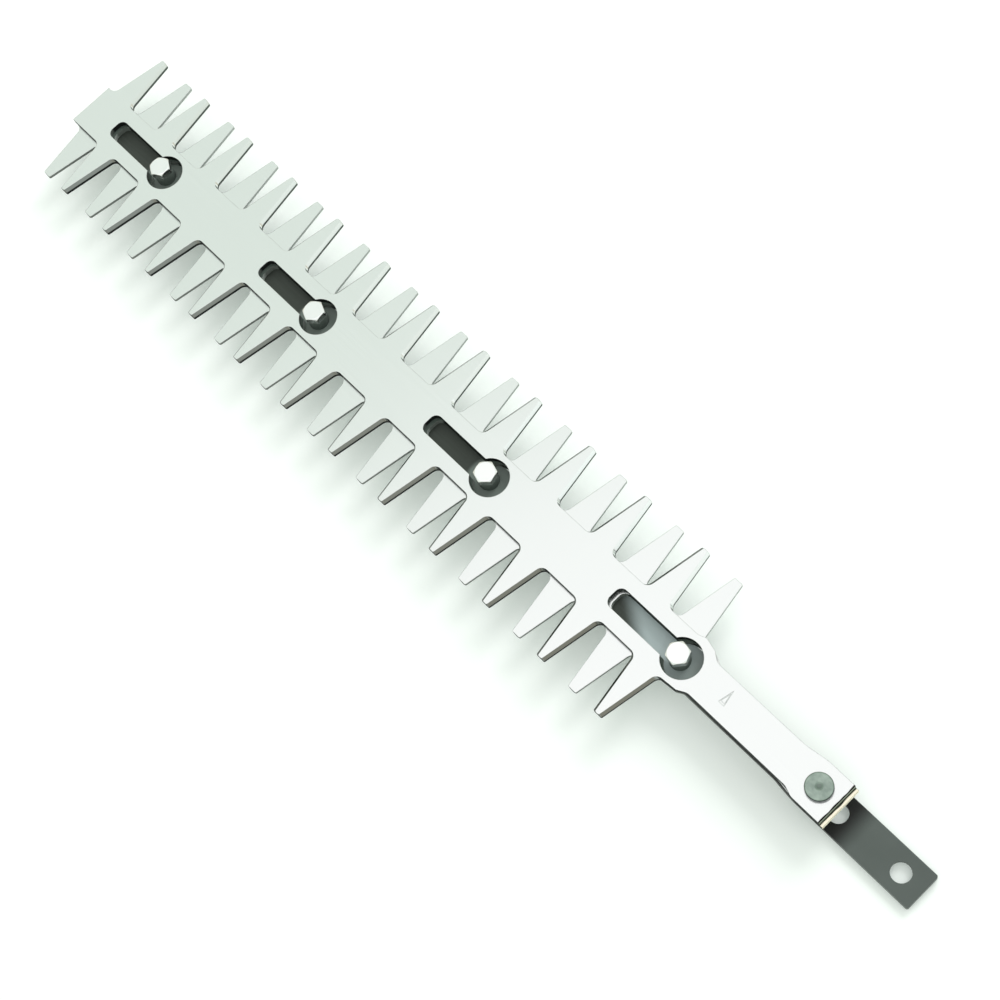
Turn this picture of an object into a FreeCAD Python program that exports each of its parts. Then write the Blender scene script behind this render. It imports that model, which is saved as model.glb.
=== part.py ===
"""Double-sided hedge trimmer blade: two toothed blades that slide on a guide bar.

Millimetres. +X points to the blade tip and +Z up. The origin lies midway between the
two fixing holes in the guide bar's tail, on its underside.
"""
import FreeCAD, Part
import math
import os

from FreeCAD import Vector

# Teeth and blade plate
blade_thickness = 2.5
tooth_pitch = 29.0
teeth_per_side = 12
tooth_height = 24.1
tooth_tip_width = 3.8
tooth_root_width = 12.2
tooth_root_radius = 3.0
tooth_tip_radius = 0.6
bevel_width = 1.0
bevel_depth = 1.2
tip_to_first_tooth = 8.85

# Shoulders, neck and tang behind the teeth
shoulder_rise = 1.2
right_shoulder_drop = 0.1
left_shoulder_drop = 0.7
shoulder_slope_length = 5.4
shoulder_to_neck = 3.6
shoulder_radius = 1.2
plain_slope_lead = 2.0
neck_width = 14.7
neck_radius = 4.0
neck_length = 45.8
tang_width = 17.5
tang_length = 16.55
short_flare_length = 3.8
long_flare_length = 9.0
long_flare_radius = 20.0

# Hex bolts, sleeves and lock nuts that hold the blades on the bar
bolt_count = 4
thread_diameter = 5.0
bolt_length = 16.0
bolt_end_chamfer = 0.6
head_across_flats = 8.0
head_height = 3.5
head_chamfer_height = 0.45
head_face_ratio = 0.95
head_turn_step = 7.0
sleeve_diameter = 8.0
nut_across_flats = 8.0
nut_hex_height = 3.6
nut_collar_height = 1.4
nut_collar_diameter = 7.4
nut_lip = 0.2
insert_wall = 0.6

# Keyhole slots in the blades
tip_to_first_keyhole = 51.5
last_tooth_to_last_keyhole = 7.35
keyhole_slot_length = 34.2
keyhole_slot_corner = 2.8
keyhole_wall = 2.3

# Guide bar
bar_thickness = 3.0
bar_width = 15.0
bar_front_overhang = 43.5
bar_front_corner = 3.0
bar_tail_corner = 0.8
bar_bend_radius = 2.0
bar_ramp_angle = 45.0
last_bolt_to_fixing_hole = 73.9
fixing_hole_spacing = 28.0
fixing_hole_diameter = 7.5
fixing_hole_to_end = 9.5

# Drive studs riveted in the tangs
stud_diameter = 10.0
stud_height = 2.2
stud_edge_radius = 0.6
stud_dimple_diameter = 3.0
stud_dimple_depth = 0.35
stud_shank_diameter = 6.0
stud_to_tang_end = 8.05

# Stamped arrow mark on the neck
mark_length = 6.2
mark_base = 2.6
mark_line = 0.3
mark_depth = 0.12
mark_behind_neck_start = 11.0

# Clearances
running_gap = 0.1
slot_clearance = 0.2
keyhole_clearance = 3.08
bore_clearance = 0.1
shank_clearance = 0.02
thread_clearance = 0.05
ramp_clearance = 0.4
stop_clearance = 0.3

# How far each blade stands back from the place where its keyholes centre on the bolts
upper_blade_setback = 1.4
lower_blade_setback = 2.8

# Sizes that follow
head_across_corners = head_across_flats / math.cos(math.radians(30))
keyhole_diameter = head_across_corners + 2 * keyhole_clearance
keyhole_slot_width = sleeve_diameter + 2 * slot_clearance
body_half_width = keyhole_diameter / 2 + keyhole_wall
tooth_reach = body_half_width + tooth_height
last_right_tooth = tip_to_first_tooth + (teeth_per_side - 1) * tooth_pitch
last_left_tooth = last_right_tooth + tooth_pitch / 2
shoulder_start = last_left_tooth + tooth_root_width / 2
shoulder_peak = last_right_tooth + tooth_pitch - tooth_root_width / 2
neck_start = shoulder_peak + shoulder_slope_length + shoulder_to_neck
neck_end = neck_start + neck_length
blade_length = neck_end + tang_length
stud_station = blade_length - stud_to_tang_end
last_keyhole = last_left_tooth + last_tooth_to_last_keyhole
keyhole_spacing = (last_keyhole - tip_to_first_keyhole) / (bolt_count - 1)
sleeve_height = 2 * blade_thickness + 3 * running_gap
bar_joggle = bolt_length - sleeve_height - bar_thickness
bar_top = bar_joggle + bar_thickness
lower_blade_bottom = bar_top + running_gap
upper_blade_bottom = lower_blade_bottom + blade_thickness + running_gap
bolt_hole_diameter = thread_diameter + 2 * bore_clearance
near_fixing_hole = last_keyhole + last_bolt_to_fixing_hole
far_fixing_hole = near_fixing_hole + fixing_hole_spacing
origin_station = (near_fixing_hole + far_fixing_hole) / 2
keyhole_travel = keyhole_diameter / 2 - sleeve_diameter / 2 - stop_clearance
lower_stud_front = stud_station - stud_diameter / 2 - keyhole_travel


def from_tip(station, across, height=0.0):
    """Point at a distance back from where the tip lies with the keyholes centred on the bolts."""
    return Vector(origin_station - station, across, height)


def rounded_wire(corners):
    """Closed wire through (point, radius) corners, with an arc at each corner that has a radius."""
    entries = []
    for index, (corner, radius) in enumerate(corners):
        if radius == 0:
            entries.append((corner, None, corner))
            continue
        before = (corners[index - 1][0] - corner).normalize()
        after = (corners[(index + 1) % len(corners)][0] - corner).normalize()
        half_angle = before.getAngle(after) / 2
        bisector = (before + after).normalize()
        tangent = radius / math.tan(half_angle)
        middle = corner + bisector * (radius / math.sin(half_angle) - radius)
        entries.append((corner + before * tangent, middle, corner + after * tangent))
    edges = []
    for index, (start, middle, end) in enumerate(entries):
        if middle is not None:
            edges.append(Part.Arc(start, middle, end).toShape())
        edges.append(Part.LineSegment(end, entries[(index + 1) % len(entries)][0]).toShape())
    return Part.Wire(edges)


def prism(wire, height):
    """Solid of a flat wire drawn up by a height."""
    return Part.Face(wire).extrude(Vector(0, 0, height))


def hexagon(across_flats, turn, height):
    """Wire of a hexagon with two corners across the bar, turned by an angle in degrees."""
    radius = across_flats / 2 / math.cos(math.radians(30))
    angles = [math.radians(90 + turn + 60 * corner) for corner in range(7)]
    points = [Vector(radius * math.cos(angle), radius * math.sin(angle), height) for angle in angles]
    return Part.makePolygon(points)


def teeth_edge(first_tooth, flank_inset):
    """Corners of one toothed edge as (station, half width, radius), from the first tooth back."""
    root = tooth_root_width / 2 - flank_inset
    tip = tooth_tip_width / 2 - flank_inset
    corners = []
    for number in range(teeth_per_side):
        centre = first_tooth + number * tooth_pitch
        corners.append((centre - root, body_half_width, tooth_root_radius))
        corners.append((centre - tip, tooth_reach, tooth_tip_radius))
        corners.append((centre + tip, tooth_reach, tooth_tip_radius))
        corners.append((centre + root, body_half_width, tooth_root_radius))
    return corners


def right_edge(flank_inset, shouldered):
    """Corners of the right edge, which has a raised shoulder or a plain slope, then a long flare."""
    slope_end = shoulder_peak + shoulder_slope_length
    corners = [(0, body_half_width, 0)]
    corners += teeth_edge(tip_to_first_tooth, flank_inset)
    if shouldered:
        corners.append((shoulder_peak - tooth_root_radius, body_half_width, tooth_root_radius))
        corners.append((shoulder_peak, body_half_width + shoulder_rise, shoulder_radius))
        corners.append((slope_end, body_half_width - right_shoulder_drop, shoulder_radius))
        corners.append((neck_start, neck_width / 2, neck_radius))
    else:
        lead = plain_slope_lead
        corners.append((shoulder_start - lead, body_half_width, shoulder_radius))
        corners.append((slope_end - lead, body_half_width - left_shoulder_drop, shoulder_radius))
        corners.append((neck_start - lead, neck_width / 2, neck_radius))
    corners.append((neck_end - long_flare_length / 2, neck_width / 2, long_flare_radius))
    corners.append((neck_end + long_flare_length / 2, tang_width / 2, long_flare_radius))
    corners.append((blade_length, tang_width / 2, 0))
    return corners


def left_edge(flank_inset):
    """Corners of the left edge, which slopes from the last tooth to the neck and has a short flare."""
    slope_end = shoulder_peak + shoulder_slope_length
    corners = [(0, body_half_width, 0)]
    corners += teeth_edge(tip_to_first_tooth + tooth_pitch / 2, flank_inset)
    corners.append((slope_end, body_half_width - left_shoulder_drop, shoulder_radius))
    corners.append((neck_start, neck_width / 2, neck_radius))
    corners.append((neck_end, neck_width / 2, neck_radius))
    corners.append((neck_end + short_flare_length, tang_width / 2, neck_radius))
    corners.append((blade_length, tang_width / 2, 0))
    return corners


def blade_outline(flank_inset, height, shouldered):
    """Closed outline of the blade plate with its tooth flanks set in by an inset."""
    corners = [(from_tip(s, -w, height), r) for s, w, r in right_edge(flank_inset, shouldered)]
    corners += [(from_tip(s, w, height), r) for s, w, r in reversed(left_edge(flank_inset))]
    return rounded_wire(corners)


def keyhole(centre):
    """Cutter for one keyhole: a round hole with a slot running forward from it."""
    half = keyhole_slot_width / 2
    end = centre - keyhole_slot_length
    corners = [
        (from_tip(centre, -half), 0),
        (from_tip(centre, half), 0),
        (from_tip(end, half), keyhole_slot_corner),
        (from_tip(end, -half), keyhole_slot_corner),
    ]
    slot = prism(rounded_wire(corners), blade_thickness)
    hole = Part.makeCylinder(keyhole_diameter / 2, blade_thickness, from_tip(centre, 0))
    return slot.fuse(hole)


def arrow_mark():
    """Cutter for the outline of a narrow arrow stamped across the neck."""
    station = neck_start + mark_behind_neck_start
    floor = blade_thickness - mark_depth
    inner_share = 1 - 3 * mark_line / mark_base
    centroid = mark_length / 3
    triangle = [(-mark_base / 2, centroid), (mark_base / 2, centroid), (0, centroid - mark_length)]
    rings = []
    for share in (1, inner_share):
        points = [from_tip(station + share * s, share * w, floor) for s, w in triangle]
        rings.append(prism(Part.makePolygon(points + points[:1]), mark_depth))
    return rings[0].cut(rings[1])


def blade(shouldered):
    """Toothed blade lying with its flat shearing face down on z = 0, bevels up."""
    land_height = blade_thickness - bevel_depth
    shearing_part = prism(blade_outline(0, 0, shouldered), land_height)
    land_outline = blade_outline(0, land_height, shouldered)
    face_outline = blade_outline(bevel_width, blade_thickness, shouldered)
    ground_part = Part.makeLoft([land_outline, face_outline], True, True)
    plate = shearing_part.fuse(ground_part)
    stud_hole_radius = stud_shank_diameter / 2 + shank_clearance
    cutters = [Part.makeCylinder(stud_hole_radius, blade_thickness, from_tip(stud_station, 0))]
    cutters.append(arrow_mark())
    for number in range(bolt_count):
        cutters.append(keyhole(tip_to_first_keyhole + number * keyhole_spacing))
    return plate.cut(cutters)


def drive_stud():
    """Riveted stud for a blade that lies on z = 0: shank through the tang and a low head above it."""
    head_base = blade_thickness
    top = head_base + stud_height
    axis_point = from_tip(stud_station, 0)
    head = Part.makeCylinder(stud_diameter / 2, stud_height, axis_point + Vector(0, 0, head_base))
    rims = [edge for edge in head.Edges if len(edge.Vertexes) == 1 and abs(edge.CenterOfMass.z - top) < 1e-6]
    head = head.makeFillet(stud_edge_radius, rims)
    dimple_radius = stud_dimple_diameter / 2
    ball_radius = (dimple_radius ** 2 + stud_dimple_depth ** 2) / (2 * stud_dimple_depth)
    ball_centre = axis_point + Vector(0, 0, top - stud_dimple_depth + ball_radius)
    head = head.cut(Part.makeSphere(ball_radius, ball_centre))
    shank = Part.makeCylinder(stud_shank_diameter / 2, blade_thickness, axis_point)
    return head.fuse(shank)


def turned_over(shape, height):
    """The shape turned over about the bar's long axis and set with its shearing face at a height."""
    placed = shape.copy()
    placed.rotate(Vector(0, 0, 0), Vector(1, 0, 0), 180)
    placed.translate(Vector(-lower_blade_setback, 0, height))
    return placed


def upright(shape):
    """The shape set down as the upper blade."""
    placed = shape.copy()
    placed.translate(Vector(-upper_blade_setback, 0, upper_blade_bottom))
    return placed


def bar_side_view():
    """Side outline of the guide bar in the plane y = 0, with its joggle behind the neck."""
    front = tip_to_first_keyhole - bar_front_overhang
    end = far_fixing_hole + fixing_hole_to_end
    slope = math.tan(math.radians(bar_ramp_angle))
    shift = bar_thickness * math.tan(math.radians(bar_ramp_angle / 2))
    drop_for_stud = stud_height + ramp_clearance
    ramp_top = lower_stud_front - ramp_clearance - drop_for_stud / slope
    ramp_bottom = ramp_top + bar_joggle / slope
    inner = bar_bend_radius
    outer = bar_bend_radius + bar_thickness
    return rounded_wire([
        (from_tip(front, 0, bar_top), 0),
        (from_tip(ramp_top, 0, bar_top), outer),
        (from_tip(ramp_bottom, 0, bar_thickness), inner),
        (from_tip(end, 0, bar_thickness), 0),
        (from_tip(end, 0, 0), 0),
        (from_tip(ramp_bottom - shift, 0, 0), outer),
        (from_tip(ramp_top - shift, 0, bar_joggle), inner),
        (from_tip(front, 0, bar_joggle), 0),
    ])


def guide_bar():
    """Flat bar with a joggled tail, holes for the bolts and two fixing holes."""
    strip = Part.Face(bar_side_view()).extrude(Vector(0, bar_width, 0))
    strip.translate(Vector(0, -bar_width / 2, 0))
    front = tip_to_first_keyhole - bar_front_overhang
    end = far_fixing_hole + fixing_hole_to_end
    half = bar_width / 2
    plan = rounded_wire([
        (from_tip(front, half), bar_front_corner),
        (from_tip(front, -half), bar_front_corner),
        (from_tip(end, -half), bar_tail_corner),
        (from_tip(end, half), bar_tail_corner),
    ])
    strip = strip.common(prism(plan, bar_top))
    holes = []
    for station in (near_fixing_hole, far_fixing_hole):
        holes.append(Part.makeCylinder(fixing_hole_diameter / 2, bar_thickness, from_tip(station, 0)))
    for number in range(bolt_count):
        station = tip_to_first_keyhole + number * keyhole_spacing
        holes.append(Part.makeCylinder(bolt_hole_diameter / 2, bar_thickness, from_tip(station, 0, bar_joggle)))
    return strip.cut(holes)


def chamfered_hexagon(across_flats, turn, height, chamfer_height):
    """Hexagonal prism on z = 0 with its corners turned off at the top."""
    corner = across_flats / 2 / math.cos(math.radians(30))
    face_radius = across_flats / 2 * head_face_ratio
    profile = [
        Vector(0, 0, 0),
        Vector(corner, 0, 0),
        Vector(corner, 0, height - chamfer_height),
        Vector(face_radius, 0, height),
        Vector(0, 0, height),
        Vector(0, 0, 0),
    ]
    turning = Part.Face(Part.makePolygon(profile)).revolve(Vector(0, 0, 0), Vector(0, 0, 1), 360)
    return prism(hexagon(across_flats, turn, 0), height).common(turning)


def guide_bolt(turn):
    """Hex head bolt on the z axis, its end at z = 0."""
    radius = thread_diameter / 2
    shank = Part.makeCylinder(radius, bolt_length - bolt_end_chamfer, Vector(0, 0, bolt_end_chamfer))
    point = Part.makeCone(radius - bolt_end_chamfer, radius, bolt_end_chamfer)
    head = chamfered_hexagon(head_across_flats, turn, head_height, head_chamfer_height)
    head.translate(Vector(0, 0, bolt_length))
    return shank.fuse([point, head])


def spacer_sleeve():
    """Ground sleeve standing on the guide bar round a bolt."""
    ring = Part.makeCylinder(sleeve_diameter / 2, sleeve_height, Vector(0, 0, bar_top))
    return ring.cut(Part.makeCylinder(bolt_hole_diameter / 2, sleeve_height, Vector(0, 0, bar_top)))


def insert_radius():
    """Outside radius of the polymer ring in a lock nut."""
    return thread_diameter / 2 + thread_clearance + insert_wall


def lock_nut():
    """Lock nut drawn up against the underside of the bar, its collar with the insert below."""
    collar_top = bar_joggle - nut_hex_height
    collar_bottom = collar_top - nut_collar_height
    body = chamfered_hexagon(nut_across_flats, 0, nut_hex_height, head_chamfer_height)
    body.rotate(Vector(0, 0, 0), Vector(1, 0, 0), 180)
    body.translate(Vector(0, 0, bar_joggle))
    collar = Part.makeCylinder(nut_collar_diameter / 2, nut_collar_height, Vector(0, 0, collar_bottom))
    thread = Part.makeCylinder(thread_diameter / 2 + thread_clearance, bar_joggle)
    pocket_radius = insert_radius() + shank_clearance
    pocket_bottom = Vector(0, 0, collar_bottom + nut_lip)
    pocket = Part.makeCylinder(pocket_radius, nut_collar_height - nut_lip, pocket_bottom)
    mouth = Part.makeCylinder(pocket_radius - nut_lip, nut_lip, Vector(0, 0, collar_bottom))
    return body.fuse(collar).cut([thread, pocket, mouth])


def nylon_insert():
    """Polymer ring that grips the thread inside a lock nut's collar."""
    bottom = bar_joggle - nut_hex_height - nut_collar_height + nut_lip
    height = nut_collar_height - nut_lip
    ring = Part.makeCylinder(insert_radius(), height, Vector(0, 0, bottom))
    return ring.cut(Part.makeCylinder(thread_diameter / 2 + thread_clearance, height, Vector(0, 0, bottom)))


def save(name, shape):
    """Write one piece, cleaned of seams left by the cuts."""
    shape.removeSplitter().exportStep("parts/" + name + ".step")


os.makedirs("parts", exist_ok=True)
stud = drive_stud()
lower_face = lower_blade_bottom + blade_thickness
save("upper_blade", upright(blade(shouldered=True)))
save("upper_drive_stud", upright(stud))
save("lower_blade", turned_over(blade(shouldered=False), lower_face))
save("lower_drive_stud", turned_over(stud, lower_face))
save("guide_bar", guide_bar())
for number in range(bolt_count):
    place = from_tip(tip_to_first_keyhole + number * keyhole_spacing, 0)
    pieces = {
        "guide_bolt": guide_bolt(number * head_turn_step),
        "spacer_sleeve": spacer_sleeve(),
        "lock_nut": lock_nut(),
        "nylon_insert": nylon_insert(),
    }
    for name, shape in pieces.items():
        shape.translate(place)
        save(name + "_" + str(number + 1), shape)
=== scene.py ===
import math

import bmesh
import bpy
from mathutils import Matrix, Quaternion, Vector


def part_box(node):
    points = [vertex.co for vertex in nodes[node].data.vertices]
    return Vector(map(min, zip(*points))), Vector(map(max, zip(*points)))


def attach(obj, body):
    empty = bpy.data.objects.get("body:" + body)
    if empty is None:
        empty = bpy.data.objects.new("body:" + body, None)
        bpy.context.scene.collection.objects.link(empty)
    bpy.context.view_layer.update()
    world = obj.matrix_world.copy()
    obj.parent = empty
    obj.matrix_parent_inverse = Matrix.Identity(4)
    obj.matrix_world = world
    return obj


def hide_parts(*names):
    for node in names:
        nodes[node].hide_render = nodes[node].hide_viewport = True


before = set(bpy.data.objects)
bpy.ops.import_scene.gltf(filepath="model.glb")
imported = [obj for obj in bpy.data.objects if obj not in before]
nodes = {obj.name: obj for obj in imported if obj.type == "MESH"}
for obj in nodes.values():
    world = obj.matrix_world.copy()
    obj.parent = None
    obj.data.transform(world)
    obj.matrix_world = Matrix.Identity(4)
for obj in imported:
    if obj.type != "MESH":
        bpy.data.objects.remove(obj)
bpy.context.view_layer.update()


# Guide bar
# A flat steel bar, joggled behind the blades, with punched holes for the bolts and the two
# fixing screws. It is hot blackened, and the sliding blades keep it rubbed on its upper side.
MM = 0.001


def linear(hex_colour):
    """Linear RGBA of an sRGB colour written as #RRGGBB."""
    channels = [int(hex_colour[place:place + 2], 16) / 255 for place in (1, 3, 5)]
    shades = [c / 12.92 if c <= 0.04045 else ((c + 0.055) / 1.055) ** 2.4 for c in channels]
    return (*shades, 1.0)


def add(tree, kind, sockets=None, **settings):
    """Add one shader node with its settings, and give each named socket a value or a link."""
    node = tree.nodes.new("ShaderNode" + kind)
    for name, value in settings.items():
        setattr(node, name, value)
    for socket, value in (sockets or {}).items():
        if isinstance(value, bpy.types.NodeSocket):
            tree.links.new(value, node.inputs[socket])
        else:
            node.inputs[socket].default_value = value
    return node


# A Mix node names its sockets alike for every data type, so they are told apart by number.
COLOUR_A = 6
COLOUR_B = 7
MIXED_COLOUR = 2


def start_material(name):
    """New material with an empty node tree, as (material, tree)."""
    material = bpy.data.materials.new(name)
    material.use_nodes = True
    material.node_tree.nodes.clear()
    return material, material.node_tree


def finish_with(piece, material):
    """Give a whole piece one material."""
    piece.data.materials.clear()
    piece.data.materials.append(material)


def centre_of(node):
    """Middle of a node's box at rest."""
    low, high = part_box(node)
    return (low + high) / 2


bolt_count = 4
bolt_numbers = range(1, bolt_count + 1)
first_bolt = centre_of("guide_bolt_1")
bolt_spacing = (first_bolt - centre_of("guide_bolt_2")).x


def bolt_distance(tree, place):
    """Socket with the distance in plan from a place to the nearest bolt's axis."""
    part = add(tree, "SeparateXYZ", {"Vector": place})
    from_first = add(tree, "Math", {0: part.outputs["X"], 1: first_bolt.x}, operation="SUBTRACT")
    from_nearest = add(tree, "Math", {
        0: from_first.outputs[0],
        1: bolt_spacing / 2,
    }, operation="PINGPONG")
    flat = add(tree, "CombineXYZ", {"X": from_nearest.outputs[0], "Y": part.outputs["Y"]})
    return add(tree, "VectorMath", {0: flat.outputs["Vector"]}, operation="LENGTH").outputs["Value"]


def black_oxide_steel():
    """Hot black oxide on rolled steel: charcoal, faintly cloudy, satin, pale where it is rubbed, with
    painted shadow, light and sheen.
    """
    material, tree = start_material("black_oxide_steel")
    cloud_size = 14 * MM
    grain_size = 0.5 * MM
    grain_depth = 0.03 * MM
    grain_strength = 0.12
    finest_grain = 0.38
    roughest_grain = 0.5
    rub_length = 30 * MM
    rub_width = 0.7 * MM
    rubbed_above = 0.5
    rubbed_most_above = 0.8
    rub_share = 0.1
    tang_edge = 11 * MM
    shadow_reach = 9 * MM
    oiled_from = 70 * MM
    oil_fade = 15 * MM
    lit_ring_radius = 8 * MM
    lit_ring_fade = 2 * MM
    worn_sheen_from = 72 * MM
    worn_sheen_to = 118 * MM
    worn_sheen_slant = 1.6
    worn_sheen_fade = 26 * MM
    worn_sheen_end_fade = 14 * MM
    underside_lean = -0.6
    side_lean = -0.2
    place = add(tree, "TexCoord").outputs["Object"]
    along = add(tree, "SeparateXYZ", {"Vector": place}).outputs["X"]
    clouds = add(tree, "TexNoise", {"Vector": place, "Scale": 1 / cloud_size, "Detail": 3.0})
    # Rolled grain is finer than this and is drawn at half a millimetre so that it shows.
    grain = add(tree, "TexNoise", {"Vector": place, "Scale": 1 / grain_size, "Detail": 2.0})
    stretched = add(tree, "Mapping", {
        "Vector": place,
        "Scale": (1 / rub_length, 1 / rub_width, 1 / rub_width),
    })
    rubs = add(tree, "TexNoise", {
        "Vector": stretched.outputs["Vector"],
        "Scale": 1.0,
        "Detail": 3.0,
    })
    rubbed = add(tree, "MapRange", {
        "Value": rubs.outputs["Fac"],
        "From Min": rubbed_above,
        "From Max": rubbed_most_above,
        "To Max": rub_share,
    })
    # A painted shadow of the tangs lies black under them and fades out a little way along the dry
    # tail.
    painted_shade = add(tree, "MapRange", {
        "Value": along,
        "From Min": tang_edge - shadow_reach,
        "From Max": tang_edge,
    }, interpolation_type="SMOOTHSTEP")
    # Under the blades the oxide is soaked with oil, and the sliding steel draws faint lines in it.
    oiled = add(tree, "MapRange", {
        "Value": along,
        "From Min": oiled_from - oil_fade,
        "From Max": oiled_from,
    }, interpolation_type="SMOOTHSTEP")
    # A paler ring round each sleeve is painted light, which lifts the shade that the bolt heads cast
    # in the keyholes.
    ring = add(tree, "MapRange", {
        "Value": bolt_distance(tree, place),
        "From Min": lit_ring_radius + lit_ring_fade,
        "From Max": lit_ring_radius,
    }, interpolation_type="SMOOTHSTEP")
    turned = add(tree, "Math", {
        0: ring.outputs["Result"],
        1: oiled.outputs["Result"],
    }, operation="MULTIPLY")
    # Next to the last bolt the oxide is paler, partly rubbed thin by the blades and partly a painted
    # reflection of bright light.
    slanted = add(tree, "VectorMath", {
        0: place,
        1: (1.0, worn_sheen_slant, 0.0),
    }, operation="DOT_PRODUCT")
    after = add(tree, "MapRange", {
        "Value": along,
        "From Min": worn_sheen_from,
        "From Max": worn_sheen_from + worn_sheen_fade,
    }, interpolation_type="SMOOTHSTEP")
    before = add(tree, "MapRange", {
        "Value": slanted.outputs["Value"],
        "From Min": worn_sheen_to,
        "From Max": worn_sheen_to - worn_sheen_end_fade,
    }, interpolation_type="SMOOTHSTEP")
    worn_sheen = add(tree, "Math", {
        0: after.outputs["Result"],
        1: before.outputs["Result"],
    }, operation="MULTIPLY")
    oxide = add(tree, "Mix", {
        "Factor": clouds.outputs["Fac"],
        COLOUR_A: linear("#4B524F"),
        COLOUR_B: linear("#59605D"),
    }, data_type="RGBA")
    rub_lines = add(tree, "Mix", {
        "Factor": rubbed.outputs["Result"],
        COLOUR_A: linear("#3F453F"),
        COLOUR_B: linear("#6F7673"),
    }, data_type="RGBA")
    stages = (
        (painted_shade.outputs["Result"], linear("#151716")),
        (oiled.outputs["Result"], rub_lines.outputs[MIXED_COLOUR]),
        (turned.outputs[0], linear("#78827C")),
        (worn_sheen.outputs[0], linear("#B4C1C2")),
    )
    # None of this reaches the underside, which stays as it came from the bath.
    facet = add(tree, "SeparateXYZ", {"Vector": add(tree, "NewGeometry").outputs["True Normal"]})
    off_underside = add(tree, "MapRange", {
        "Value": facet.outputs["Z"],
        "From Min": underside_lean,
        "From Max": side_lean,
    })
    tone = oxide.outputs[MIXED_COLOUR]
    for share, stage_tone in stages:
        kept = add(tree, "Math", {0: share, 1: off_underside.outputs["Result"]}, operation="MULTIPLY")
        mixed = add(tree, "Mix", {
            "Factor": kept.outputs[0],
            COLOUR_A: tone,
            COLOUR_B: stage_tone,
        }, data_type="RGBA")
        tone = mixed.outputs[MIXED_COLOUR]
    roughness = add(tree, "MapRange", {
        "Value": grain.outputs["Fac"],
        "To Min": finest_grain,
        "To Max": roughest_grain,
    })
    bump = add(tree, "Bump", {
        "Height": grain.outputs["Fac"],
        "Strength": grain_strength,
        "Distance": grain_depth,
    })
    shader = add(tree, "BsdfPrincipled", {
        "Base Color": tone,
        "Metallic": 0.1,
        "Roughness": roughness.outputs["Result"],
        "Specular IOR Level": 0.3,
        "Normal": bump.outputs["Normal"],
    })
    add(tree, "OutputMaterial", {"Surface": shader.outputs["BSDF"]})
    return material


finish_with(nodes["guide_bar"], black_oxide_steel())


# Lower and upper blade
# Two plates of spring steel, stamped, hardened and ground flat on both faces, then cropped to
# length. The tooth flanks are ground to a bevel, and the stamped edges keep a dark scale.
NUMBER_A = 2
NUMBER_B = 3
MIXED_NUMBER = 0
VECTOR_A = 4
VECTOR_B = 5
MIXED_VECTOR = 1


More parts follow.
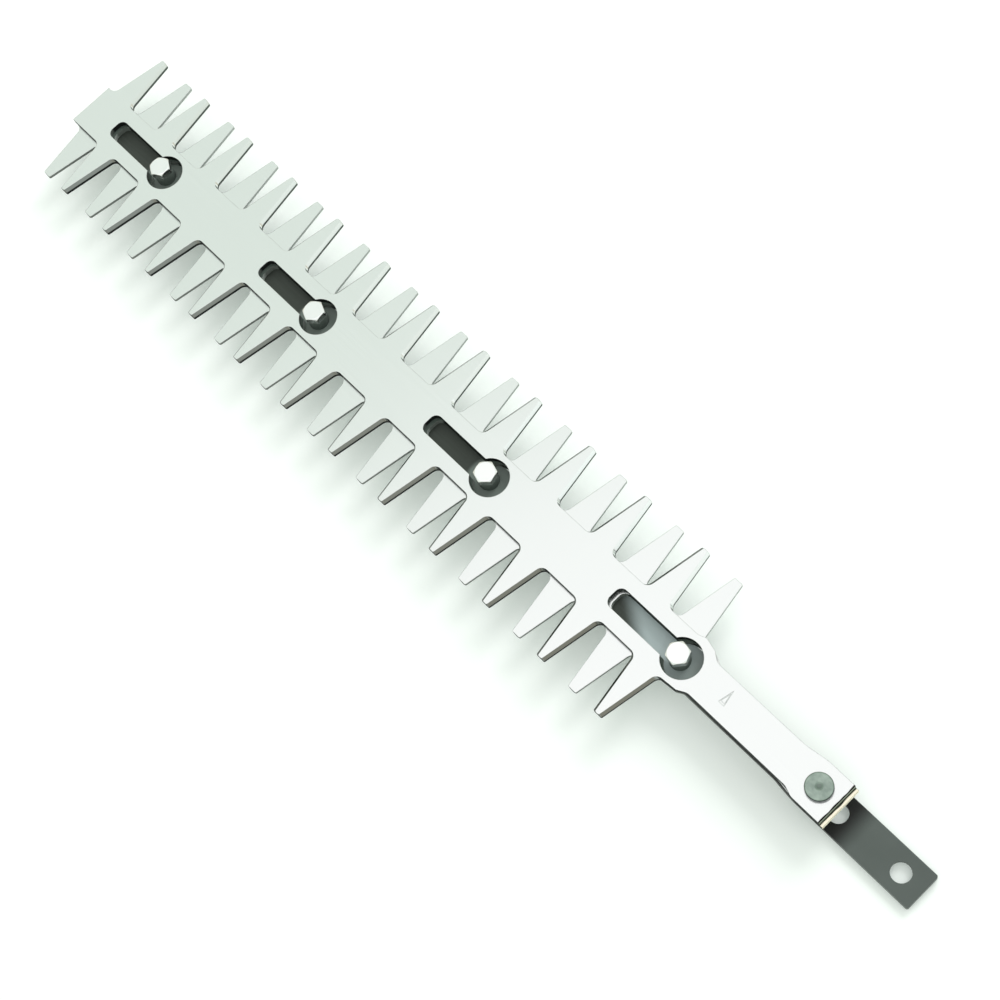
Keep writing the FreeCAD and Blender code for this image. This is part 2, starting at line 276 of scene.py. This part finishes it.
def ground_blade_steel(cropped_end, end_face_tone, end_bands, edge_tones, shade_radius, shaded_slot_width):
    """Ground spring steel: pale, smooth faces with faint lengthwise lines, and dark stamped edges."""
    material, tree = start_material("ground_blade_steel")
    line_length = 45 * MM
    line_width = 0.6 * MM
    line_depth = 0.004 * MM
    line_strength = 0.08
    brightest_line = 0.17
    dullest_line = 0.24
    bevel_roughness = 0.16
    scale_roughness = 0.65
    cloud_size = 40 * MM
    edge_radius = 0.3 * MM
    end_face_reach = 1 * MM
    end_face_fade = 0.5 * MM
    tear_size = 5 * MM
    tear_depth = 0.9 * MM
    band_fade = 0.1 * MM
    shade_fade = 1 * MM
    shaded_from = 150 * MM
    shade_past_bolt = 38 * MM
    shaded_to = first_bolt.x + shade_past_bolt
    shade_end_fade = 4 * MM
    place = add(tree, "TexCoord").outputs["Object"]
    part = add(tree, "SeparateXYZ", {"Vector": place})
    along = part.outputs["X"]
    # Grinding lines are about a tenth of this width and are drawn coarser so that they show.
    stretched = add(tree, "Mapping", {
        "Vector": place,
        "Scale": (1 / line_length, 1 / line_width, 1 / line_width),
    })
    lines = add(tree, "TexNoise", {
        "Vector": stretched.outputs["Vector"],
        "Scale": 1.0,
        "Detail": 3.0,
    })
    clouds = add(tree, "TexNoise", {"Vector": place, "Scale": 1 / cloud_size, "Detail": 2.0})
    rounded = add(tree, "Bevel", {"Radius": edge_radius}, samples=6)
    soft_normal = add(tree, "SeparateXYZ", {"Vector": rounded.outputs["Normal"]})
    softness = add(tree, "Math", {0: soft_normal.outputs["Z"]}, operation="ABSOLUTE").outputs[0]
    geometry = add(tree, "NewGeometry")
    facet = add(tree, "SeparateXYZ", {"Vector": geometry.outputs["True Normal"]})
    flatness = add(tree, "Math", {0: facet.outputs["Z"]}, operation="ABSOLUTE").outputs[0]
    # Each mask grows from none to full between two values of one part of a normal.
    leans = {
        "near_edge": (softness, 0.86, 0.78),
        "bevelled": (flatness, 0.9, 0.8),
        "upright": (flatness, 0.5, 0.4),
        "facing_tip": (facet.outputs["X"], 0.3, 0.5),
        "facing_tang": (facet.outputs["X"], -0.3, -0.5),
        "facing_back": (facet.outputs["X"], -0.9, -0.98),
        "facing_right": (facet.outputs["Y"], -0.04, -0.1),
        "off_underside": (facet.outputs["Z"], -0.6, -0.2),
    }
    masks = {}
    for name, (lean, none_at, full_at) in leans.items():
        mask = add(tree, "MapRange", {"Value": lean, "From Min": none_at, "From Max": full_at})
        masks[name] = mask.outputs["Result"]
    at_end = add(tree, "MapRange", {
        "Value": along,
        "From Min": cropped_end + end_face_reach,
        "From Max": cropped_end + end_face_reach - end_face_fade,
    })
    end_face = add(tree, "Math", {
        0: masks["facing_back"],
        1: at_end.outputs["Result"],
    }, operation="MULTIPLY")
    # Painted shade darkens the face round the sleeves and along the slots of the front keyholes,
    # where it lies deep under the bolt heads and the upper blade.
    at_sleeve = add(tree, "MapRange", {
        "Value": bolt_distance(tree, place),
        "From Min": shade_radius,
        "From Max": shade_radius - shade_fade,
    })
    off_axis = add(tree, "Math", {0: part.outputs["Y"]}, operation="ABSOLUTE")
    in_slot = add(tree, "MapRange", {
        "Value": off_axis.outputs[0],
        "From Min": shaded_slot_width / 2,
        "From Max": shaded_slot_width / 2 - shade_fade,
    })
    in_front = add(tree, "Math", {0: along, 1: shaded_from}, operation="GREATER_THAN")
    short_of_end = add(tree, "MapRange", {
        "Value": along,
        "From Min": shaded_to,
        "From Max": shaded_to - shade_end_fade,
    }, interpolation_type="SMOOTHSTEP")
    along_slots = add(tree, "Math", {
        0: in_front.outputs[0],
        1: short_of_end.outputs["Result"],
    }, operation="MULTIPLY")
    shaded_slots = add(tree, "Math", {
        0: in_slot.outputs["Result"],
        1: along_slots.outputs[0],
    }, operation="MULTIPLY")
    near_sleeve = add(tree, "Math", {
        0: at_sleeve.outputs["Result"],
        1: shaded_slots.outputs[0],
    }, operation="MAXIMUM")
    painted_shade = add(tree, "Math", {
        0: near_sleeve.outputs[0],
        1: masks["off_underside"],
    }, operation="MULTIPLY")
    ground = add(tree, "Mix", {
        "Factor": lines.outputs["Fac"],
        COLOUR_A: linear("#E2E6E4"),
        COLOUR_B: linear("#EAEEEC"),
    }, data_type="RGBA")
    clouded = add(tree, "Mix", {
        "Factor": clouds.outputs["Fac"],
        COLOUR_A: ground.outputs[MIXED_COLOUR],
        COLOUR_B: linear("#E6EAE8"),
    }, data_type="RGBA")
    # Right-hand flanks are as bright as the faces. The left-hand ones are painted darker as painted
    # shade, most of all those that face the tip. The scale on the right-hand edges is painted lighter
    # as painted light, and on the lower blade also on those that face the tang.
    left_flank_shade = add(tree, "Mix", {
        "Factor": masks["facing_right"],
        COLOUR_A: linear("#8E9190"),
        COLOUR_B: clouded.outputs[MIXED_COLOUR],
    }, data_type="RGBA")
    flank_shade = add(tree, "Mix", {
        "Factor": masks["facing_tip"],
        COLOUR_A: left_flank_shade.outputs[MIXED_COLOUR],
        COLOUR_B: linear("#4A4B45"),
    }, data_type="RGBA")
    border_shade_tone, back_edge_tone, right_edge_light_tone = edge_tones
    left_scale_and_light = add(tree, "Mix", {
        "Factor": masks["facing_tang"],
        COLOUR_A: linear("#1C1F1E"),
        COLOUR_B: linear(back_edge_tone),
    }, data_type="RGBA")
    scale = add(tree, "Mix", {
        "Factor": masks["facing_right"],
        COLOUR_A: left_scale_and_light.outputs[MIXED_COLOUR],
        COLOUR_B: linear(right_edge_light_tone),
    }, data_type="RGBA")
    # The shear leaves a torn, discoloured border along the cropped end. On the lower blade the bands
    # are painted shade in the step under the upper blade's end and a painted highlight along its own
    # end.
    torn = add(tree, "TexNoise", {"Vector": place, "Scale": 1 / tear_size, "Detail": 1.0})
    ragged = add(tree, "MapRange", {
        "Value": torn.outputs["Fac"],
        "To Min": -tear_depth / 2,
        "To Max": tear_depth / 2,
    })
    from_end = add(tree, "Math", {0: along, 1: ragged.outputs["Result"]}, operation="ADD")
    stages = [(painted_shade.outputs[0], linear("#4E5852"))]
    for reach, band_tone in end_bands:
        band = add(tree, "MapRange", {
            "Value": from_end.outputs[0],
            "From Min": cropped_end + reach + band_fade,
            "From Max": cropped_end + reach - band_fade,
        })
        stages.append((band.outputs["Result"], linear(band_tone)))
    stages += [
        # The dark border along the faces' edges is the stamped burr, drawn wider as painted shade of
        # the edges.
        (masks["near_edge"], linear(border_shade_tone)),
        (masks["bevelled"], flank_shade.outputs[MIXED_COLOUR]),
        (masks["upright"], scale.outputs[MIXED_COLOUR]),
        (end_face.outputs[0], linear(end_face_tone)),
    ]
    tone = clouded.outputs[MIXED_COLOUR]
    for share, stage_tone in stages:
        mixed = add(tree, "Mix", {
            "Factor": share,
            COLOUR_A: tone,
            COLOUR_B: stage_tone,
        }, data_type="RGBA")
        tone = mixed.outputs[MIXED_COLOUR]
    # The ground faces are bare metal. Scale covers it on the stamped edges, and the painted shade on
    # the face is drawn matt.
    covered = add(tree, "Math", {0: masks["upright"], 1: painted_shade.outputs[0]}, operation="MAXIMUM")
    bare = add(tree, "Math", {0: 1.0, 1: covered.outputs[0]}, operation="SUBTRACT")
    polish = add(tree, "MapRange", {
        "Value": lines.outputs["Fac"],
        "To Min": brightest_line,
        "To Max": dullest_line,
    })
    satin = add(tree, "Mix", {
        "Factor": masks["bevelled"],
        NUMBER_A: polish.outputs["Result"],
        NUMBER_B: bevel_roughness,
    }, data_type="FLOAT")
    roughness = add(tree, "Mix", {
        "Factor": covered.outputs[0],
        NUMBER_A: satin.outputs[MIXED_NUMBER],
        NUMBER_B: scale_roughness,
    }, data_type="FLOAT")
    # Only the faces have rounded borders. The bevels are ground crisp.
    eased = add(tree, "Mix", {
        "Factor": masks["bevelled"],
        VECTOR_A: rounded.outputs["Normal"],
        VECTOR_B: geometry.outputs["Normal"],
    }, data_type="VECTOR")
    bump = add(tree, "Bump", {
        "Height": lines.outputs["Fac"],
        "Strength": line_strength,
        "Distance": line_depth,
        "Normal": eased.outputs[MIXED_VECTOR],
    })
    shader = add(tree, "BsdfPrincipled", {
        "Base Color": tone,
        "Metallic": bare.outputs[0],
        "Roughness": roughness.outputs[MIXED_NUMBER],
        "Specular IOR Level": 0.1,
        "Normal": bump.outputs["Normal"],
    })
    add(tree, "OutputMaterial", {"Surface": shader.outputs["BSDF"]})
    return material


# The lower blade's face has painted shade round the sleeves, along the front slots and in the step of
# its tang, and a painted highlight along its cropped end. Its edges are painted lighter than the
# upper blade's, as painted light.
lower_steel = ground_blade_steel(
    cropped_end=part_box("lower_blade")[0].x,
    end_face_tone="#F2EDD6",
    end_bands=((2.0 * MM, "#3C4238"), (0.9 * MM, "#EFEAD4")),
    edge_tones=("#6A6E6A", "#7A7F7B", "#A4AAA6"),
    shade_radius=9.6 * MM,
    shaded_slot_width=12 * MM,
)
finish_with(nodes["lower_blade"], lower_steel)

# The upper blade's face has none of this painted shade.
upper_steel = ground_blade_steel(
    cropped_end=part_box("upper_blade")[0].x,
    end_face_tone="#8A9284",
    end_bands=((0.5 * MM, "#1A1C1A"),),
    edge_tones=("#30322F", "#1C1F1E", "#565C58"),
    shade_radius=0.0,
    shaded_slot_width=0.0,
)
finish_with(nodes["upper_blade"], upper_steel)


# Drive studs
# A turned steel stud is riveted through each tang and takes the drive's connecting rod. Its
# low head is dull, with turning rings and a centre dimple.
def turned_steel(name, centre, tones, ring_spacing, roughness, metallic):
    """Turned steel: satin and mottled, with faint rings, darker towards its centre, and a side tone,
    which on the studs is painted shade.
    """
    material, tree = start_material(name)
    dark_tone, pale_tone, centre_tone, side_tone = tones
    grain_size = 0.6 * MM
    mottle_size = 3 * MM
    darkest_below = 0.35
    palest_above = 0.65
    dark_centre_radius = 1.7 * MM
    darkest_centre_radius = 0.3 * dark_centre_radius
    centre_share = 0.7
    ring_depth = 0.01 * MM
    ring_strength = 0.1
    roughness_spread = 0.06
    face_lean = 0.85
    side_lean = 0.6
    # A wave texture takes the sine of 20 times its scaled distance.
    wave_factor = 20
    place = add(tree, "TexCoord").outputs["Object"]
    centred = add(tree, "Mapping", {"Vector": place, "Location": (-centre.x, -centre.y, 0.0)})
    flat = add(tree, "VectorMath", {
        0: centred.outputs["Vector"],
        1: (1.0, 1.0, 0.0),
    }, operation="MULTIPLY")
    reach = add(tree, "VectorMath", {0: flat.outputs["Vector"]}, operation="LENGTH")
    rings = add(tree, "TexWave", {
        "Vector": flat.outputs["Vector"],
        "Scale": math.tau / (wave_factor * ring_spacing),
        "Distortion": 1.0,
    }, wave_type="RINGS", rings_direction="Z")
    grain = add(tree, "TexNoise", {"Vector": place, "Scale": 1 / grain_size, "Detail": 3.0})
    mottle = add(tree, "TexNoise", {"Vector": place, "Scale": 1 / mottle_size, "Detail": 3.0})
    spread = add(tree, "MapRange", {
        "Value": mottle.outputs["Fac"],
        "From Min": darkest_below,
        "From Max": palest_above,
    })
    mottled = add(tree, "Mix", {
        "Factor": spread.outputs["Result"],
        COLOUR_A: linear(dark_tone),
        COLOUR_B: linear(pale_tone),
    }, data_type="RGBA")
    centre_darkness = add(tree, "MapRange", {
        "Value": reach.outputs["Value"],
        "From Min": dark_centre_radius,
        "From Max": darkest_centre_radius,
        "To Max": centre_share,
    }, interpolation_type="SMOOTHSTEP")
    darkened_centre = add(tree, "Mix", {
        "Factor": centre_darkness.outputs["Result"],
        COLOUR_A: mottled.outputs[MIXED_COLOUR],
        COLOUR_B: linear(centre_tone),
    }, data_type="RGBA")
    facet = add(tree, "SeparateXYZ", {"Vector": add(tree, "NewGeometry").outputs["True Normal"]})
    flatness = add(tree, "Math", {0: facet.outputs["Z"]}, operation="ABSOLUTE")
    side = add(tree, "MapRange", {
        "Value": flatness.outputs[0],
        "From Min": face_lean,
        "From Max": side_lean,
    })
    sided = add(tree, "Mix", {
        "Factor": side.outputs["Result"],
        COLOUR_A: darkened_centre.outputs[MIXED_COLOUR],
        COLOUR_B: linear(side_tone),
    }, data_type="RGBA")
    rough = add(tree, "MapRange", {
        "Value": grain.outputs["Fac"],
        "To Min": roughness - roughness_spread,
        "To Max": roughness + roughness_spread,
    })
    bump = add(tree, "Bump", {
        "Height": rings.outputs["Fac"],
        "Strength": ring_strength,
        "Distance": ring_depth,
    })
    shader = add(tree, "BsdfPrincipled", {
        "Base Color": sided.outputs[MIXED_COLOUR],
        "Metallic": metallic,
        "Roughness": rough.outputs["Result"],
        "Normal": bump.outputs["Normal"],
    })
    add(tree, "OutputMaterial", {"Surface": shader.outputs["BSDF"]})
    return material


# The studs' dark side tone is painted shade on their sides.
for stud in ("lower_drive_stud", "upper_drive_stud"):
    stud_steel = turned_steel(
        "turned_" + stud,
        centre_of(stud),
        tones=("#88978E", "#A2B2A7", "#56615B", "#2C3636"),
        ring_spacing=0.5 * MM,
        roughness=0.34,
        metallic=1.0,
    )
    finish_with(nodes[stud], stud_steel)


# Spacer sleeves
# Each bolt carries a hardened, phosphated sleeve that keeps the blades free between bar and
# head. Phosphate leaves the turned steel matt and grey.
for number in bolt_numbers:
    sleeve = "spacer_sleeve_" + str(number)
    sleeve_steel = turned_steel(
        "phosphated_" + sleeve,
        centre_of(sleeve),
        tones=("#5E6863", "#707A75", "#4A524E", "#66706B"),
        ring_spacing=0.4 * MM,
        roughness=0.6,
        metallic=0.2,
    )
    finish_with(nodes[sleeve], sleeve_steel)


# Guide bolts
# Cold headed M5 hex bolts with a rolled thread, bright zinc plated. They clamp the sleeves to
# the bar, and only the thread's end stands out below the nuts.
def bright_zinc_plate():
    """Bright zinc on cold formed steel: pale, slightly blue, glossy with a faint orange peel."""
    material, tree = start_material("bright_zinc_plate")
    peel_size = 0.8 * MM
    peel_depth = 0.01 * MM
    peel_strength = 0.06
    cloud_size = 4 * MM
    brightest_cloud = 0.18
    dullest_cloud = 0.28
    place = add(tree, "TexCoord").outputs["Object"]
    peel = add(tree, "TexNoise", {"Vector": place, "Scale": 1 / peel_size, "Detail": 2.0})
    clouds = add(tree, "TexNoise", {"Vector": place, "Scale": 1 / cloud_size, "Detail": 3.0})
    tone = add(tree, "Mix", {
        "Factor": clouds.outputs["Fac"],
        COLOUR_A: linear("#F4F6F6"),
        COLOUR_B: linear("#FAFAF9"),
    }, data_type="RGBA")
    roughness = add(tree, "MapRange", {
        "Value": clouds.outputs["Fac"],
        "To Min": brightest_cloud,
        "To Max": dullest_cloud,
    })
    bump = add(tree, "Bump", {
        "Height": peel.outputs["Fac"],
        "Strength": peel_strength,
        "Distance": peel_depth,
    })
    shader = add(tree, "BsdfPrincipled", {
        "Base Color": tone.outputs[MIXED_COLOUR],
        "Metallic": 1.0,
        "Roughness": roughness.outputs["Result"],
        "Normal": bump.outputs["Normal"],
    })
    add(tree, "OutputMaterial", {"Surface": shader.outputs["BSDF"]})
    return material


thread_pitch = 0.8 * MM
thread_radius = 2.5 * MM
thread_length = 3.2 * MM
# Depth, half of the flat crest and one flank of a metric thread, as shares of its pitch.
depth_share = 0.6134
crest_half_share = 1 / 16
flank_share = 5 / 16
thread_depth = depth_share * thread_pitch
end_chamfer = 0.6 * MM
head_flats = 8 * MM
head_height = 3.5 * MM
head_chamfer = 0.45 * MM
head_chamfer_angle = math.radians(30)
head_chamfer_steps = 6
head_face_share = 0.95
head_face_radius = head_face_share * head_flats / 2
head_side_angle = math.radians(60)
edge_round = 0.15 * MM
crease_angle = math.radians(35)
columns = 72
rows_per_turn = 12


def thread_edge(height, angle):
    """Radius of the metric thread at a height and an angle, with the bolt's end chamfered."""
    phase = (height / thread_pitch - angle / math.tau) % 1
    from_crest = abs(phase - 0.5)
    share = min(max((from_crest - crest_half_share) / flank_share, 0), 1)
    chamfered = thread_radius - end_chamfer + height
    return min(thread_radius - share * thread_depth, chamfered)


def hexagon_edge(angle, turn):
    """Radius of the hexagonal head at an angle, its corners slightly rounded."""
    from_flat = (angle - turn) % head_side_angle - head_side_angle / 2
    corner = head_flats / 2 / math.cos(head_side_angle / 2)
    return min(head_flats / 2 / math.cos(from_flat), corner - edge_round / 2)


def bolt_rows(under_head, turn):
    """Rings of the bolt from its end up to the head's face, as (height, radius at each angle)."""
    angles = [math.tau * column / columns for column in range(columns)]
    hexagon = [hexagon_edge(angle, turn) for angle in angles]
    plain = [thread_radius] * columns
    rows = []
    thread_rows = round(thread_length / thread_pitch * rows_per_turn)
    for row in range(thread_rows + 1):
        height = thread_length * row / thread_rows
        rows.append((height, [thread_edge(height, angle) for angle in angles]))
    rows.append((thread_length + thread_depth, plain))
    rows.append((under_head, plain))
    rows.append((under_head, [radius - edge_round for radius in hexagon]))
    rows.append((under_head + edge_round, hexagon))
    top = under_head + head_height
    for step in range(head_chamfer_steps + 1):
        drop = head_chamfer * (1 - step / head_chamfer_steps)
        cone = head_face_radius + drop / math.tan(head_chamfer_angle)
        rows.append((top - drop, [min(radius, cone) for radius in hexagon]))
    rows.append((top, [head_face_radius - edge_round] * columns))
    return rows


def bolt_mesh(name, axis, under_head, turn):
    """Mesh of one bolt, turned as rings of points about its upright axis."""
    shape = bmesh.new()
    rings = []
    for height, radii in bolt_rows(under_head, turn):
        ring = []
        for column, radius in enumerate(radii):
            angle = math.tau * column / columns
            offset = Vector((radius * math.cos(angle), radius * math.sin(angle), height))
            ring.append(shape.verts.new(axis + offset))
        rings.append(ring)
    for lower, upper in zip(rings, rings[1:]):
        for column in range(columns):
            beside = (column + 1) % columns
            shape.faces.new((lower[column], lower[beside], upper[beside], upper[column]))
    shape.faces.new(list(reversed(rings[0])))
    shape.faces.new(rings[-1])
    mesh = bpy.data.meshes.new(name)
    shape.to_mesh(mesh)
    shape.free()
    mesh.shade_smooth()
    mesh.set_sharp_from_angle(angle=crease_angle)
    return mesh


# No two heads came to rest at the same angle when they were tightened.
first_head_turn = math.radians(90)
head_turn_step = math.radians(7)
zinc = bright_zinc_plate()
for number in bolt_numbers:
    node = "guide_bolt_" + str(number)
    low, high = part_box(node)
    axis = Vector(((low.x + high.x) / 2, (low.y + high.y) / 2, low.z))
    turn = first_head_turn + head_turn_step * (number - 1)
    under_head = high.z - low.z - head_height
    mesh = bolt_mesh(node + "_thread", axis, under_head, turn)
    bolt = bpy.data.objects.new("threaded_bolt_" + str(number), mesh)
    bpy.context.scene.collection.objects.link(bolt)
    finish_with(bolt, zinc)
    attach(bolt, "guide_bar")
    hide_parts(node)


# Lock nuts and their inserts
# Zinc plated hex nuts drawn up under the bar. A moulded nylon ring, rolled into the collar,
# grips the thread.
def moulded_nylon():
    """Moulded nylon: milky and slightly glossy, with a faint flow mottling."""
    material, tree = start_material("moulded_nylon")
    mottle_size = 0.7 * MM
    smoothest_mottle = 0.4
    roughest_mottle = 0.55
    nylon_ior = 1.53
    place = add(tree, "TexCoord").outputs["Object"]
    mottle = add(tree, "TexNoise", {"Vector": place, "Scale": 1 / mottle_size, "Detail": 2.0})
    tone = add(tree, "Mix", {
        "Factor": mottle.outputs["Fac"],
        COLOUR_A: linear("#DAD9CE"),
        COLOUR_B: linear("#ECEBE2"),
    }, data_type="RGBA")
    roughness = add(tree, "MapRange", {
        "Value": mottle.outputs["Fac"],
        "To Min": smoothest_mottle,
        "To Max": roughest_mottle,
    })
    shader = add(tree, "BsdfPrincipled", {
        "Base Color": tone.outputs[MIXED_COLOUR],
        "Roughness": roughness.outputs["Result"],
        "IOR": nylon_ior,
    })
    add(tree, "OutputMaterial", {"Surface": shader.outputs["BSDF"]})
    return material


nylon = moulded_nylon()
for number in bolt_numbers:
    finish_with(nodes["lock_nut_" + str(number)], zinc)
    finish_with(nodes["nylon_insert_" + str(number)], nylon)


# Studio
# A matt white floor in a pale dome, with one large softbox high on the right. A side softbox,
# brighter at its foot, lights the right-hand bevels as brightly as the faces.
floor_size = 40.0
shape = bmesh.new()
bmesh.ops.create_grid(shape, x_segments=1, y_segments=1, size=floor_size / 2)
floor_mesh = bpy.data.meshes.new("floor")
shape.to_mesh(floor_mesh)
shape.free()
floor = bpy.data.objects.new("floor", floor_mesh)
bpy.context.scene.collection.objects.link(floor)


def white_paper():
    """Matt white paper: even, with no gloss, and a pale green cast in its shadows."""
    material, tree = start_material("white_paper")
    lit_reach = 0.8
    faded_reach = 1.8
    near_glow = 0.2
    far_glow = 1.0
    # Far off, where the lamps fade, the paper shows as the plain white of the backdrop.
    place = add(tree, "TexCoord").outputs["Object"]
    reach = add(tree, "VectorMath", {0: place}, operation="LENGTH")
    far = add(tree, "MapRange", {
        "Value": reach.outputs["Value"],
        "From Min": lit_reach,
        "From Max": faded_reach,
        "To Min": near_glow,
        "To Max": far_glow,
    }, interpolation_type="SMOOTHSTEP")
    cast = add(tree, "Mix", {
        "Factor": far.outputs["Result"],
        COLOUR_A: linear("#E2F6EB"),
        COLOUR_B: linear("#FFFFFF"),
    }, data_type="RGBA")
    matt = add(tree, "BsdfDiffuse", {"Color": linear("#F9FBFA")})
    glow = add(tree, "Emission", {"Color": cast.outputs[MIXED_COLOUR], "Strength": 1.0})
    path = add(tree, "LightPath")
    mirrored = add(tree, "Math", {
        0: path.outputs["Is Glossy Ray"],
        1: path.outputs["Is Transmission Ray"],
    }, operation="MAXIMUM")
    seen = add(tree, "Math", {
        0: path.outputs["Is Camera Ray"],
        1: mirrored.outputs[0],
    }, operation="MAXIMUM")
    share = add(tree, "Math", {0: seen.outputs[0], 1: far.outputs["Result"]}, operation="MULTIPLY")
    shader = add(tree, "MixShader", {
        "Fac": share.outputs[0],
        1: matt.outputs["BSDF"],
        2: glow.outputs["Emission"],
    })
    add(tree, "OutputMaterial", {"Surface": shader.outputs["Shader"]})
    return material


finish_with(floor, white_paper())


def softbox(name, place, aim, width, length, radiance, tint):
    """Rectangular area light that looks from a place to an aim, with a given surface radiance."""
    lamp = bpy.data.lights.new(name, "AREA")
    lamp.shape = "RECTANGLE"
    lamp.size = width
    lamp.size_y = length
    lamp.energy = radiance * math.pi * width * length
    lamp.color = linear(tint)[:3]
    light = bpy.data.objects.new(name, lamp)
    light.location = place
    light.rotation_mode = "QUATERNION"
    light.rotation_quaternion = (Vector(aim) - Vector(place)).to_track_quat("-Z", "Y")
    bpy.context.scene.collection.objects.link(light)
    return light


high_softbox = softbox(
    "high_softbox",
    place=(0.4, -1.2, 0.95),
    aim=(0.15, 0.0, 0.0),
    width=0.8,
    length=0.8,
    radiance=6.6,
    tint="#FFFFFF",
)
# The steel mirrors the dome and the side softbox, but not this lamp.
high_softbox.visible_glossy = False
softbox(
    "side_softbox",
    place=(-0.873, -0.676, 0.439),
    aim=(0.257, 0.004, 0.049),
    width=0.9,
    length=0.3,
    radiance=0.25,
    tint="#DCEBFF",
)
softbox(
    "side_softbox_foot",
    place=(-0.946, -0.72, 0.151),
    aim=(0.184, -0.04, -0.239),
    width=0.9,
    length=0.3,
    radiance=0.58,
    tint="#DCEBFF",
)

# The dome's ceiling is brighter than its walls, which are warmer and darker at their foot.
ceiling_from = 0.885
ceiling_to = 0.915
ceiling_strength = 1.22
wall_strength = 1.0
wall_foot = 0.0
wall_top = 0.5
world = bpy.data.worlds.new("pale_dome")
bpy.context.scene.world = world
world.use_nodes = True
dome = world.node_tree
dome.nodes.clear()
direction = add(dome, "TexCoord").outputs["Generated"]
height = add(dome, "SeparateXYZ", {"Vector": direction}).outputs["Z"]
ceiling = add(dome, "MapRange", {
    "Value": height,
    "From Min": ceiling_from,
    "From Max": ceiling_to,
}, interpolation_type="SMOOTHSTEP")
rise = add(dome, "MapRange", {"Value": height, "From Min": wall_foot, "From Max": wall_top})
strength = add(dome, "Mix", {
    "Factor": ceiling.outputs["Result"],
    NUMBER_A: wall_strength,
    NUMBER_B: ceiling_strength,
}, data_type="FLOAT")
walls = add(dome, "Mix", {
    "Factor": rise.outputs["Result"],
    COLOUR_A: linear("#D6CFB9"),
    COLOUR_B: linear("#F0F8F1"),
}, data_type="RGBA")
glow = add(dome, "Mix", {
    "Factor": ceiling.outputs["Result"],
    COLOUR_A: walls.outputs[MIXED_COLOUR],
    COLOUR_B: linear("#FFFDFE"),
}, data_type="RGBA")
studio = add(dome, "Background", {
    "Color": glow.outputs[MIXED_COLOUR],
    "Strength": strength.outputs[MIXED_NUMBER],
})
white = add(dome, "Background", {"Color": linear("#FFFFFF"), "Strength": 1.0})
background = add(dome, "MixShader", {
    "Fac": add(dome, "LightPath").outputs["Is Camera Ray"],
    1: studio.outputs["Background"],
    2: white.outputs["Background"],
})
add(dome, "OutputWorld", {"Surface": background.outputs["Shader"]})


# Camera
# It looks down on the upper blade from behind the tail, rolled so that the bar lies corner to
# corner in the picture.
lens = bpy.data.cameras.new("camera")
lens.sensor_width = 36.0
lens.lens = 65.38
lens.clip_start = 0.01
camera = bpy.data.objects.new("camera", lens)
camera_place = Vector((-0.08029, 0.08552, 0.61999))
camera_aim = Vector((0.1765, 0.00329, 0.0159))
camera_roll = math.radians(-27.349)
camera.location = camera_place
camera.rotation_mode = "QUATERNION"
aimed = (camera_aim - camera_place).to_track_quat("-Z", "Y")
camera.rotation_quaternion = aimed @ Quaternion((0, 0, 1), camera_roll)
bpy.context.scene.collection.objects.link(camera)
bpy.context.scene.camera = camera

bpy.context.scene.view_settings.view_transform = "Standard"
